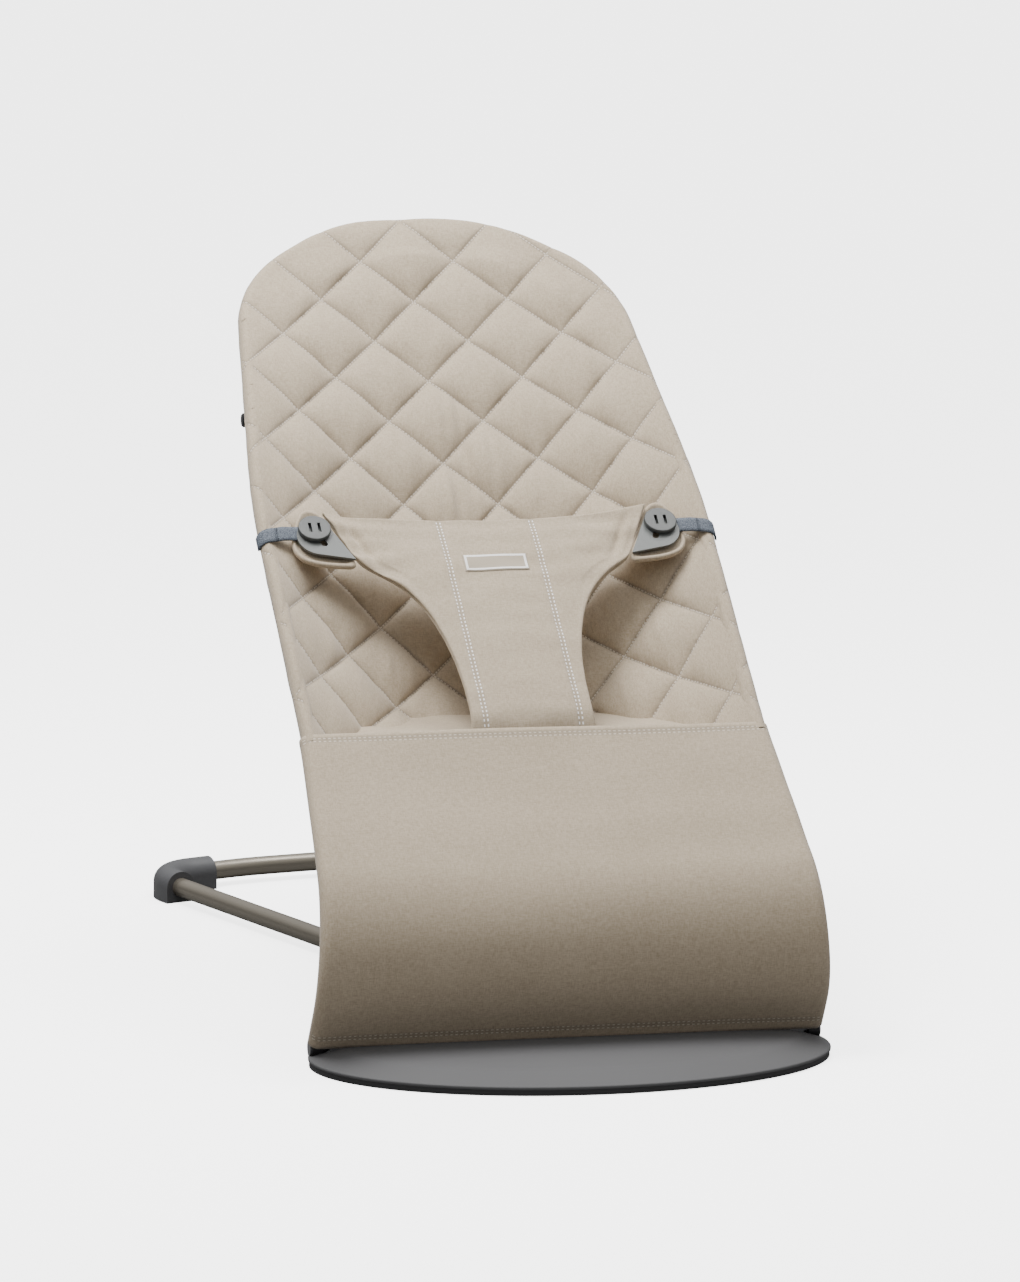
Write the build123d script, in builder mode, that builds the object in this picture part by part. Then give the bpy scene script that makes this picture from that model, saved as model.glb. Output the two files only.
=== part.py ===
from build123d import *
import os
from math import atan2, cos, degrees, hypot, radians, sin, sqrt, tan

# Baby bouncer seat, millimetres, Z up, X across, Y from the toe to the head.
# Origin: centre of the footprint, on the floor. Soft pieces are plain closed solids.
os.makedirs("parts", exist_ok=True)

# Overall sizes
base_length = 790.0          # toe of the front plate to the back of the rear bar
plate_width = 390.0
seat_length = 756.5          # hinge to the crown of the hoop, along the slope
seat_angle = 37.0            # slope of the rails in the highest position

# Front plate
plate_half_depth = 113.3     # half depth of the ellipse that the outline follows
plate_depth = 147.0          # toe to the straight rear edge
sole_thickness = 4.2
sole_inset = 0.8
plate_lip = 6.6              # top of the upright lip
plate_band = 25.0            # width of the sloped band
crease_height = 13.5
crown_height = 15.0
crown_share = 0.5            # the level top, as a share of the creased ellipse
socket_on_plate = 12.0       # how far the tube socket reaches over the plate
socket_behind = 22.0
socket_half = 46.0
socket_wall = 3.0
socket_roof = 4.5            # plastic over the tube
screw_spread = 64.0
screw_back = 8.0             # rear pair, ahead of the plate's rear edge
screw_front = 40.0           # front pair, ahead of the outline's centre
screw_recess = 0.6
screw_radius = 1.5
screw_head_radius = 3.2
screw_length = 9.0
screw_head = 1.8

# Hinge between the hoop and the plate
hinge_setback = 129.0        # toe to the hinge axis
hinge_z = 12.0
hinge_inset = 8.0            # plate's side to the centre of each hoop end
boss_radius = 9.5
boss_length = 33.0
bush_setback = 2.0           # boss face to the bush's blind end
bush_wall = 2.5
pin_radius = 4.0
running_gap = 0.05
pin_head_radius = 6.0
pin_head = 1.5
eye_radius = 7.5
eye_width = 8.0
eye_notch_gap = 2.0
eye_side_gap = 4.0           # hoop end to the boss
stem_wall = 1.6
stem_length = 21.0
wire_end = 10.0
sleeve_start = 1.0           # stem's end to the cloth

# Hoop wire
wire_radius = 4.0
sleeve_wall = 1.5
rail_height = 99.0           # hinge axis to the wire, square to the slope
rail_inset = 16.0            # hinge end to the straight rail, across
bow_low_inset = 1.2
bow_high_inset = 5.5
bow_reach = 26.9             # how far the bow stands ahead of the hinge
bow_foot_angle = 32.0
bow_foot_radius = 60.0
bow_radius = 82.6
splay_radius = 500.0
pocket_u = 211.0             # pocket seam, up the slope from the hinge
taper_u = 452.0
taper_radius = 900.0
shoulder_inset = 25.0        # straight rail to the shoulder, across
shoulder_drop = 64.5         # below the crown
shoulder_radius = 109.0
corner_half = 66.0
corner_drop = 8.7
corner_radius = 108.0
crown_radius = 285.0

# Base tube and feet
tube_radius = 7.5
tube_wall = 1.2
toe_half = 27.2
toe_bend_run = 125.0         # plate's rear edge to the toe bend
toe_bend_radius = 60.0
rear_inset = 3.5             # plate's side to the elbow's corner
rear_elbow_radius = 34.0
rear_shoulder_share = 0.5744 # of the elbow's half width
rear_shoulder_radius = 240.0
rear_crown_radius = 300.0
rear_inner_slope = 10.8
rear_outer_slope = 20.0
foot_wall = 5.0
foot_side_run = 43.0
foot_rear_run = 52.0

# Prop behind the seat
prop_run = 302.0             # hinge axis to the prop's pivot, along the floor
prop_z = 28.0
prop_length = 400.0
prop_radius = 4.0
prop_tip_inset = 17.0        # straight rail to the shoe's centre, across
prop_knee_inset = 42.0       # shoe's centre to the knee
prop_base_reach = 25.7       # bracket's centre to the foot bend
prop_knee_share = 0.6
prop_bend_radius = 10.0
prop_knee_radius = 60.0
tip_drop = 26.0              # rail wire to the shoe's centre, square to the slope
shoe_radius = 5.5
shoe_length = 17.0
shoe_chamfer = 1.0
bracket_length = 24.0
bracket_width = 24.0
bracket_round = 3.0
bracket_bottom = 1.5
bracket_top = 35.0
bracket_screw_side = 9.8
bracket_screw_radius = 1.1
bracket_screw_head = 1.9
bracket_screw_recess = 1.5
bracket_screw_length = 12.0

# Notched combs under the rails
lower_angles = (28.0, 20.0)  # the other two reclined positions
comb_width = 9.0
comb_inset = 2.0             # comb's middle line inside the rail wire's centre
comb_saddle = 4.5            # rail wire's centre to the top of the saddle
comb_gap = 2.6               # cloth to the comb beyond the saddle
saddle_clear = 61.0          # end of the saddle to the shoulder, along the slope
shoe_gap = 1.6
notch_depth = 4.0
comb_end = 16.0

# Fabric
sling_thickness = 6.0
panel_thickness = 3.0
hem_z = 22.0
edge_gap = 0.3
seat_crease = 81.0           # pocket seam to the crease, along the slope
pocket_hem = 4.0             # panel's side edge turns in this far below the seam
panel_margin = 20.0          # cutting outline beyond the panel's top edge

# Restraint
flap_seam = 1.0              # pocket seam to the restraint's lower edge
flap_rise = 2.5              # rail wire's centre to the restraint's underside
flap_thickness = 5.0
stem_half = 47.5
stem_run = 45.0
flap_length = 222.0
wing_top_inset = 45.0        # straight rail to the wing's upper corner, across
wing_low_inset = 67.0
wing_low_run = 172.0
cutout_half = 58.0
cutout_run = 123.0
label_size = (50.0, 17.0)
label_run = 169.0
label_thickness = 0.8
tongue_thickness = 1.5
tongue_reach = 12.0          # beyond the button's centre, across
tongue_shoulder = 4.0
tongue_drop = 9.0
tongue_low = 6.0
tongue_gap = 0.6
keyhole_thickness = 2.0
keyhole_reach = 13.0         # button's centre to the rounded side of the plate
keyhole_tail = 24.0          # button's centre to the low corner, down the slope
keyhole_start = 3.0          # low corner to the restraint's own low corner
keyhole_head = 5.0           # restraint's top edge to the plate's top corner
keyhole_slot = 15.0
neck_gap = 0.25
button_inset = 36.0          # straight rail to the button's centre
button_run = 205.0
button_radius = 12.5
button_thickness = 3.8
button_round = 1.0
button_gap = 0.35
button_neck_radius = 2.2
button_slot = (2.4, 9.5)
button_slot_pitch = 7.0
strap_width = 12.5
strap_thickness = 1.5
strap_inset = 19.5           # straight rail to the strap's split
strap_split = 0.5
strap_seam = 1.0             # strap's end to the sling's edge
tab_reach = 5.0              # strap tab beyond the button's centre

# Directions and working planes
slope_u = Vector(0, cos(radians(seat_angle)), sin(radians(seat_angle)))
slope_v = Vector(0, -sin(radians(seat_angle)), cos(radians(seat_angle)))
across = Vector(1, 0, 0)
forward = Vector(0, 1, 0)
toe_y = -base_length / 2
hinge_y = toe_y + hinge_setback
hinge = Vector(0, hinge_y, hinge_z)
seat_plane = Plane(origin=hinge, x_dir=across, z_dir=slope_v)
sides = {"left": -1, "right": 1}


def seat_point(x, u, v):
    """A point given across, up the slope, and square to the slope."""
    return hinge + across * x + slope_u * u + slope_v * v


def side_face(side, x, y, z):
    """A plane square to X that looks outward on its own side, with Y as its first direction."""
    return Plane((side * x, y, z), x_dir=forward, z_dir=across * side)


def save(piece, name):
    piece.part.label = name
    export_step(piece.part, "parts/" + name + ".step")


# ---------------------------------------------------------------- front plate
plate_centre_y = toe_y + plate_half_depth
plate_rear_y = toe_y + plate_depth
plate_half = plate_width / 2
hinge_half = plate_half - hinge_inset
boss_out = hinge_half - eye_width / 2 - eye_side_gap
boss_in = boss_out - boss_length
bush_in = boss_in + bush_setback
bush_radius = pin_radius + bush_wall
foot_half_width = tube_radius + foot_wall
tube_z = foot_half_width
socket_front_y = plate_rear_y - socket_on_plate
socket_middle_y = socket_front_y + (socket_on_plate + socket_behind) / 2
tube_end_y = socket_front_y + socket_wall
screw_places = [
    (side * screw_spread, screw_y)
    for side in sides.values()
    for screw_y in (plate_rear_y - screw_back, plate_centre_y - screw_front)
]

with BuildPart() as base_plate:
    for height in (sole_thickness, plate_lip):
        with BuildSketch(Plane((0, plate_centre_y, height))):
            Ellipse(plate_half, plate_half_depth)
    loft(ruled=True)
    with BuildSketch(Plane((0, plate_centre_y, plate_lip))):
        Ellipse(plate_half, plate_half_depth)
    with BuildSketch(Plane((0, plate_centre_y, crease_height))):
        Ellipse(plate_half - plate_band, plate_half_depth - plate_band)
    loft(ruled=True)
    with BuildSketch(Plane((0, plate_centre_y, crease_height))):
        Ellipse(plate_half - plate_band, plate_half_depth - plate_band)
    with BuildSketch(Plane((0, plate_centre_y, crown_height))):
        Ellipse((plate_half - plate_band) * crown_share, (plate_half_depth - plate_band) * crown_share)
    loft(ruled=True)
    # hinge bosses
    for side in sides.values():
        with BuildSketch(side_face(side, boss_in, hinge_y, hinge_z)):
            Circle(boss_radius)
        extrude(amount=boss_length)
    # rear half away
    split(bisect_by=Plane((0, plate_rear_y, 0), z_dir=(0, -1, 0)), keep=Keep.TOP)
    # socket block for the tube's toe ends
    with BuildSketch(Plane((0, socket_middle_y, sole_thickness))):
        RectangleRounded(2 * socket_half, socket_on_plate + socket_behind, socket_wall)
    extrude(amount=tube_z + tube_radius + socket_roof - sole_thickness)
    split(bisect_by=Plane((0, 0, sole_thickness)), keep=Keep.TOP)
    for side in sides.values():
        with BuildSketch(side_face(side, bush_in, hinge_y, hinge_z)):
            Circle(bush_radius)
        extrude(amount=boss_length, mode=Mode.SUBTRACT)
        with BuildSketch(side_face(side, boss_out, hinge_y, hinge_z)):
            Circle(eye_radius + eye_notch_gap)
        extrude(amount=plate_half - boss_out, mode=Mode.SUBTRACT)
        with BuildSketch(Plane((side * toe_half, tube_end_y, tube_z), x_dir=across, z_dir=forward)):
            Circle(tube_radius)
        extrude(amount=socket_on_plate + socket_behind, mode=Mode.SUBTRACT)
    for place in screw_places:
        with BuildSketch(Plane((*place, sole_thickness))):
            Circle(screw_radius)
        extrude(amount=screw_length, mode=Mode.SUBTRACT)
save(base_plate, "base_plate")

with BuildPart() as plate_sole:
    with BuildSketch(Plane((0, plate_centre_y, 0))):
        Ellipse(plate_half - sole_inset, plate_half_depth - sole_inset)
    extrude(amount=sole_thickness)
    split(bisect_by=Plane((0, plate_rear_y, 0), z_dir=(0, -1, 0)), keep=Keep.TOP)
    with BuildSketch(Plane.XY):
        with Locations(*screw_places):
            Circle(screw_head_radius)
    extrude(amount=screw_recess + screw_head, mode=Mode.SUBTRACT)
    with BuildSketch(Plane.XY):
        with Locations(*screw_places):
            Circle(screw_radius)
    extrude(amount=sole_thickness, mode=Mode.SUBTRACT)
save(plate_sole, "plate_sole")

with BuildPart() as plate_screws:
    with BuildSketch(Plane.XY.offset(screw_recess)):
        with Locations(*screw_places):
            Circle(screw_head_radius)
    extrude(amount=screw_head)
    with BuildSketch(Plane.XY.offset(screw_recess)):
        with Locations(*screw_places):
            Circle(screw_radius)
    extrude(amount=screw_length)
save(plate_screws, "plate_screws")

# ---------------------------------------------------------------- hinge
bow_front_y = hinge_y - bow_reach
low_z = hinge_z + bow_reach / tan(radians(bow_foot_angle))
high_u = (rail_height * sin(radians(seat_angle)) - bow_reach) / cos(radians(seat_angle))
bow_low_half = hinge_half - bow_low_inset
bow_high_half = hinge_half - bow_high_inset
rail_half = hinge_half - rail_inset
sleeve_radius = wire_radius + sleeve_wall
stem_radius = wire_radius + stem_wall
eye_in = hinge_half - eye_width / 2
pin_length = hinge_half + eye_width / 2 + running_gap - bush_in
low_corner = Vector(bow_low_half, bow_front_y, low_z)
high_corner = seat_point(bow_high_half, high_u, rail_height)
hoop_foot = Vector(hinge_half, hinge_y, hinge_z)
foot_direction = (low_corner - hoop_foot).normalized()

for name, side in sides.items():
    bush_plane = side_face(side, bush_in, hinge_y, hinge_z)
    with BuildPart() as pivot_bush:
        with BuildSketch(bush_plane):
            Circle(bush_radius)
            Circle(pin_radius + running_gap, mode=Mode.SUBTRACT)
        extrude(amount=boss_out - bush_in)
    save(pivot_bush, "pivot_bush_" + name)

    with BuildPart() as hinge_pin:
        with BuildSketch(bush_plane):
            Circle(pin_radius)
        extrude(amount=pin_length)
        with BuildSketch(bush_plane.offset(pin_length)):
            Circle(pin_head_radius)
        extrude(amount=pin_head)
    save(hinge_pin, "hinge_pin_" + name)

    eye_plane = side_face(side, eye_in, hinge_y, hinge_z)
    side_foot = Vector(side * foot_direction.X, foot_direction.Y, foot_direction.Z)
    stem_plane = Plane(Vector(side * hinge_half, hinge_y, hinge_z), z_dir=side_foot)
    with BuildPart() as hoop_end:
        with BuildSketch(eye_plane):
            Circle(eye_radius)
        extrude(amount=eye_width)
        with BuildSketch(stem_plane):
            Circle(stem_radius)
        extrude(amount=stem_length)
        with BuildSketch(stem_plane.offset(wire_end)):
            Circle(wire_radius)
        extrude(amount=stem_length, mode=Mode.SUBTRACT)
        with BuildSketch(eye_plane.offset(-stem_radius)):
            Circle(pin_radius + running_gap)
        extrude(amount=eye_width + 2 * stem_radius, mode=Mode.SUBTRACT)
        split(bisect_by=eye_plane, keep=Keep.TOP)
        split(bisect_by=eye_plane.offset(eye_width), keep=Keep.BOTTOM)
    save(hoop_end, "hoop_end_" + name)

# ---------------------------------------------------------------- hoop
shoulder_u = seat_length - shoulder_drop
corner_u = seat_length - corner_drop
shoulder_half = rail_half - shoulder_inset


def mirrored(point):
    return Vector(-point.X, point.Y, point.Z)


right_points = [
    low_corner,
    high_corner,
    seat_point(rail_half, pocket_u, rail_height),
    seat_point(rail_half, taper_u, rail_height),
    seat_point(shoulder_half, shoulder_u, rail_height),
    seat_point(corner_half, corner_u, rail_height),
]
right_radii = [bow_foot_radius, bow_radius, splay_radius, taper_radius, shoulder_radius, corner_radius]
crown_point = seat_point(0, seat_length, rail_height)


def hoop_route(start_distance):
    """Corner points of the hoop, each leg ending short of its hinge."""
    start = hoop_foot + foot_direction * start_distance
    right = [start] + right_points
    return [mirrored(point) for point in right] + [crown_point] + right[::-1]


hoop_radii = right_radii + [crown_radius] + right_radii[::-1]

with BuildPart() as seat_hoop:
    with BuildLine() as hoop_line:
        FilletPolyline(*hoop_route(wire_end), radius=hoop_radii)
    with BuildSketch(Plane(hoop_line.line @ 0, z_dir=hoop_line.line % 0)):
        Circle(wire_radius)
    sweep()
save(seat_hoop, "seat_hoop")

with BuildPart() as edge_sleeve:
    with BuildLine() as sleeve_line:
        FilletPolyline(*hoop_route(stem_length + sleeve_start), radius=hoop_radii)
    with BuildSketch(Plane(sleeve_line.line @ 0, z_dir=sleeve_line.line % 0)):
        Circle(sleeve_radius)
        Circle(wire_radius, mode=Mode.SUBTRACT)
    sweep()
save(edge_sleeve, "edge_sleeve")

# ---------------------------------------------------------------- base tube
rear_half = plate_half - rear_inset
toe_bend_y = plate_rear_y + toe_bend_run
rear_y = base_length / 2 - tube_radius
rear_crown_y = rear_y + rear_crown_radius * (1 / cos(radians(rear_inner_slope)) - 1)
rear_shoulder_half = rear_half * rear_shoulder_share
rear_shoulder_y = rear_crown_y - rear_shoulder_half * tan(radians(rear_inner_slope))
rear_corner_y = rear_shoulder_y - (rear_half - rear_shoulder_half) * tan(radians(rear_outer_slope))
tube_right = [
    Vector(toe_half, tube_end_y, tube_z),
    Vector(toe_half, toe_bend_y, tube_z),
    Vector(rear_half, rear_corner_y, tube_z),
    Vector(rear_shoulder_half, rear_shoulder_y, tube_z),
]
tube_points = [mirrored(point) for point in tube_right]
tube_points += [Vector(0, rear_crown_y, tube_z)] + tube_right[::-1]
tube_bends = [toe_bend_radius, rear_elbow_radius, rear_shoulder_radius]
tube_radii = tube_bends + [rear_crown_radius] + tube_bends[::-1]

with BuildPart() as base_tube:
    with BuildLine() as tube_line:
        FilletPolyline(*tube_points, radius=tube_radii)
    with BuildSketch(Plane(tube_line.line @ 0, z_dir=tube_line.line % 0)):
        Circle(tube_radius)
        Circle(tube_radius - tube_wall, mode=Mode.SUBTRACT)
    sweep()
save(base_tube, "base_tube")

side_direction = (tube_right[2] - tube_right[1]).normalized()
rear_direction = (tube_right[3] - tube_right[2]).normalized()
for name, side in sides.items():
    elbow = tube_right[2]
    side_end = elbow - side_direction * foot_side_run
    rear_end = elbow + rear_direction * foot_rear_run
    foot_points = [Vector(side * p.X, p.Y, p.Z) for p in (side_end, elbow, rear_end)]
    with BuildPart() as rear_foot:
        with BuildLine() as foot_line:
            FilletPolyline(*foot_points, radius=rear_elbow_radius)
        heading = foot_line.line % 0
        section = Plane(foot_line.line @ 0, x_dir=(-heading.Y, heading.X, 0), z_dir=heading)
        with BuildSketch(section):
            Circle(foot_half_width)
            with Locations((0, -tube_z / 2)):
                Rectangle(2 * foot_half_width, tube_z)
            Circle(tube_radius + running_gap, mode=Mode.SUBTRACT)
        sweep()
    save(rear_foot, "rear_foot_" + name)

# ---------------------------------------------------------------- prop
prop_y = hinge_y + prop_run
prop_tip_half = rail_half - prop_tip_inset
prop_knee_half = prop_tip_half - prop_knee_inset
lean = (prop_y - toe_bend_y) / (rear_corner_y - toe_bend_y)
bracket_x = toe_half + (rear_half - toe_half) * lean
prop_base_half = bracket_x + prop_base_reach
pivot_rise = prop_z - hinge_z
tip_v = rail_height - tip_drop


def notch_u(angle):
    """Where the prop's shoe lies along the rail at a reclined angle."""
    along = prop_run * cos(radians(angle)) + pivot_rise * sin(radians(angle))
    aside = pivot_rise * cos(radians(angle)) - prop_run * sin(radians(angle))
    return along + sqrt(prop_length ** 2 - (tip_v - aside) ** 2)


top_notch_u = notch_u(seat_angle)
prop_foot = Vector(0, prop_y, prop_z)
prop_rise = (seat_point(0, top_notch_u, tip_v) - prop_foot).normalized()


def prop_point(x, distance):
    return prop_foot + prop_rise * distance + across * x


prop_right = [
    prop_point(prop_tip_half, prop_length),
    prop_point(prop_knee_half, prop_length * prop_knee_share),
    prop_point(prop_base_half, 0),
]
prop_points = [mirrored(point) for point in prop_right] + prop_right[::-1]
prop_bends = [prop_knee_radius, prop_bend_radius, prop_bend_radius, prop_knee_radius]
shoe_at = prop_point(0, prop_length)
shoe_start = prop_tip_half - shoe_length / 2
shoe_planes = {name: side_face(side, shoe_start, shoe_at.Y, shoe_at.Z) for name, side in sides.items()}
with BuildPart() as prop_wire:
    with BuildLine() as prop_line:
        FilletPolyline(*prop_points, radius=prop_bends)
    with BuildSketch(Plane(prop_line.line @ 0, z_dir=prop_line.line % 0)):
        Circle(prop_radius)
    sweep()
    for shoe_plane in shoe_planes.values():
        with BuildSketch(shoe_plane):
            Circle(shoe_radius)
        extrude(amount=shoe_length, mode=Mode.SUBTRACT)
save(prop_wire, "prop_wire")

for name, shoe_plane in shoe_planes.items():
    with BuildPart() as prop_shoe:
        with BuildSketch(shoe_plane):
            Circle(shoe_radius)
        extrude(amount=shoe_length)
        chamfer(prop_shoe.edges(), shoe_chamfer)
    save(prop_shoe, "prop_shoe_" + name)

bracket_height = bracket_top - bracket_bottom
bracket_floors = {}
bracket_headings = {}
for name, side in sides.items():
    heading = Vector(side * side_direction.X, side_direction.Y, 0)
    bracket_headings[name] = heading
    bracket_floors[name] = Plane(
        (side * bracket_x, prop_y, bracket_bottom), x_dir=(heading.Y, -heading.X, 0)
    )
screw_offsets = [(-bracket_screw_side, 0), (bracket_screw_side, 0)]
for name, side in sides.items():
    with BuildPart() as prop_bracket:
        with BuildSketch(bracket_floors[name]):
            RectangleRounded(bracket_width, bracket_length, bracket_round)
        extrude(amount=bracket_height)
        with BuildSketch(Plane((side * bracket_x, prop_y, tube_z), z_dir=bracket_headings[name])):
            Circle(tube_radius)
        extrude(amount=bracket_length, both=True, mode=Mode.SUBTRACT)
        with BuildSketch(side_face(side, bracket_x, prop_y, prop_z)):
            Circle(prop_radius + running_gap)
        extrude(amount=bracket_length, both=True, mode=Mode.SUBTRACT)
        with BuildSketch(bracket_floors[name]):
            with Locations(*screw_offsets):
                Circle(bracket_screw_head)
        extrude(amount=bracket_screw_recess, mode=Mode.SUBTRACT)
        with BuildSketch(bracket_floors[name]):
            with Locations(*screw_offsets):
                Circle(bracket_screw_radius)
        extrude(amount=bracket_screw_length, mode=Mode.SUBTRACT)
    save(prop_bracket, "prop_bracket_" + name)

with BuildPart() as bracket_screws:
    for bracket_floor in bracket_floors.values():
        with BuildSketch(bracket_floor):
            with Locations(*screw_offsets):
                Circle(bracket_screw_head)
        extrude(amount=bracket_screw_recess)
        with BuildSketch(bracket_floor):
            with Locations(*screw_offsets):
                Circle(bracket_screw_radius)
        extrude(amount=bracket_screw_length)
save(bracket_screws, "bracket_screws")

# ---------------------------------------------------------------- notched combs
taper_slope = shoulder_inset / (shoulder_u - taper_u)
comb_low_u = top_notch_u - comb_end
comb_high_u = notch_u(lower_angles[-1]) + comb_end
comb_low_half = rail_half - comb_inset - (comb_low_u - taper_u) * taper_slope
comb_high_half = rail_half - comb_inset - (comb_high_u - taper_u) * taper_slope
comb_tips = tip_v + shoe_radius + shoe_gap
comb_length = comb_high_u - comb_low_u
comb_height = rail_height - sleeve_radius - comb_gap - comb_tips
saddle_length = shoulder_u - saddle_clear - comb_low_u
saddle_height = rail_height - comb_saddle - comb_tips
notch_angles = (seat_angle,) + lower_angles
for name, side in sides.items():
    comb_low = seat_point(side * comb_low_half, comb_low_u, comb_tips)
    comb_high = seat_point(side * comb_high_half, comb_high_u, comb_tips)
    run = (comb_high - comb_low).normalized()
    comb_side = run.cross(slope_v)
    comb_plane = Plane(comb_low - comb_side * (comb_width / 2), x_dir=run, z_dir=comb_side)
    bore_plane = Plane(comb_low + slope_v * (rail_height - comb_tips), x_dir=comb_side, z_dir=run)
    with BuildPart() as comb:
        with BuildSketch(comb_plane):
            with Locations((comb_length / 2, comb_height / 2)):
                Rectangle(comb_length, comb_height)
            with Locations(*[(notch_u(angle) - comb_low_u, 0) for angle in notch_angles]):
                Circle(notch_depth, mode=Mode.SUBTRACT)
            with Locations((saddle_length / 2, (comb_height + saddle_height) / 2)):
                Rectangle(saddle_length, saddle_height - comb_height)
        extrude(amount=comb_width)
        with BuildSketch(bore_plane):
            Circle(sleeve_radius + running_gap)
        extrude(amount=comb_length, mode=Mode.SUBTRACT)
    save(comb, "recline_comb_" + name)

# ---------------------------------------------------------------- fabric sling
edge_half = rail_half - sleeve_radius - edge_gap
crease_u = pocket_u + seat_crease
# distance up the slope, drawn in from the rail, depth of the hollow
seat_stations = [
    (pocket_u + 1, 0, 6),
    (pocket_u + 28, 0, 32),
    (pocket_u + 55, 0, 52),
    (crease_u, 0, 62),
]
back_stations = [
    (crease_u, 0, 62),
    (seat_length - 330, 0, 62),
    (seat_length - 233, 8.5, 62),
    (seat_length - 156, 17.5, 56),
    (seat_length - 82, 31, 42),
    (seat_length - 34, 72, 27),
    (seat_length - 12, 118, 12),
]


def hollow_section(station):
    """A crescent across the hoop: a sagging arc with the cloth's thickness."""
    distance, drawn_in, depth = station
    half = edge_half - drawn_in
    plane = Plane(seat_point(0, distance, rail_height), x_dir=across, z_dir=slope_u * -1)
    with BuildSketch(plane) as crescent:
        with BuildLine():
            ThreePointArc((-half, 0), (0, -depth), (half, 0))
            Line((half, 0), (half, -sling_thickness))
            ThreePointArc(
                (half, -sling_thickness), (0, -depth - sling_thickness), (-half, -sling_thickness)
            )
            Line((-half, -sling_thickness), (-half, 0))
        make_face()
    return crescent.sketch


for name, stations in (("seat_bottom", seat_stations), ("seat_back", back_stations)):
    with BuildPart() as hollow:
        for station in stations:
            add(hollow_section(station))
        loft(ruled=True)
    save(hollow, name)

# ---------------------------------------------------------------- leg panel
hem_distance = (hem_z - hinge_z) / foot_direction.Z
hem_point = Vector(0, hinge_y + foot_direction.Y * hem_distance, hem_z)
panel_rail = rail_half - sleeve_radius - edge_gap
panel_points = [
    hem_point,
    Vector(0, bow_front_y, low_z),
    seat_point(0, high_u, rail_height),
    seat_point(0, pocket_u, rail_height),
]
side_clear = sleeve_radius + edge_gap
pocket_z = seat_point(0, pocket_u, rail_height).Z
high_z = seat_point(0, high_u, rail_height).Z
panel_outline = [
    (-hinge_half + side_clear, 0),
    (hinge_half - side_clear, 0),
    (bow_low_half - side_clear, low_z),
    (bow_high_half - side_clear, high_z),
    (panel_rail, pocket_z - pocket_hem),
    (panel_rail, pocket_z + panel_margin),
    (-panel_rail, pocket_z + panel_margin),
    (-panel_rail, pocket_z - pocket_hem),
    (-bow_high_half + side_clear, high_z),
    (-bow_low_half + side_clear, low_z),
]
with BuildPart() as leg_panel:
    with BuildLine() as panel_line:
        FilletPolyline(*panel_points, radius=[bow_foot_radius, bow_radius])
    with BuildSketch(Plane(panel_line.line @ 0, x_dir=across, z_dir=panel_line.line % 0)):
        Rectangle(plate_width, panel_thickness)
    sweep()
    with BuildSketch(Plane.XZ.offset(-hinge_y)):
        Polygon(*panel_outline, align=None)
    extrude(amount=base_length / 4, both=True, mode=Mode.INTERSECT)
save(leg_panel, "leg_panel")

# ---------------------------------------------------------------- restraint
flap_u = pocket_u + flap_seam
flap_v = rail_height + flap_rise
wing_top_half = rail_half - wing_top_inset
wing_low_half = rail_half - wing_low_inset
button_half = rail_half - button_inset
strap_end_half = rail_half - strap_inset
flap_plane = Plane(seat_point(0, flap_u, flap_v), x_dir=across, z_dir=slope_v)
with BuildPart() as restraint_panel:
    with BuildSketch(flap_plane):
        with BuildLine():
            Polyline((0, 0), (stem_half, 0), (stem_half, stem_run))
            ThreePointArc((stem_half, stem_run), (cutout_half, cutout_run), (wing_low_half, wing_low_run))
            Polyline((wing_low_half, wing_low_run), (wing_top_half, flap_length), (0, flap_length))
            mirror(about=Plane.YZ)
        make_face()
    extrude(amount=flap_thickness)
save(restraint_panel, "restraint_panel")

with BuildPart() as label_patch:
    with BuildSketch(flap_plane.offset(flap_thickness)):
        with Locations((0, label_run)):
            Rectangle(*label_size)
    extrude(amount=label_thickness)
save(label_patch, "label_patch")

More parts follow.
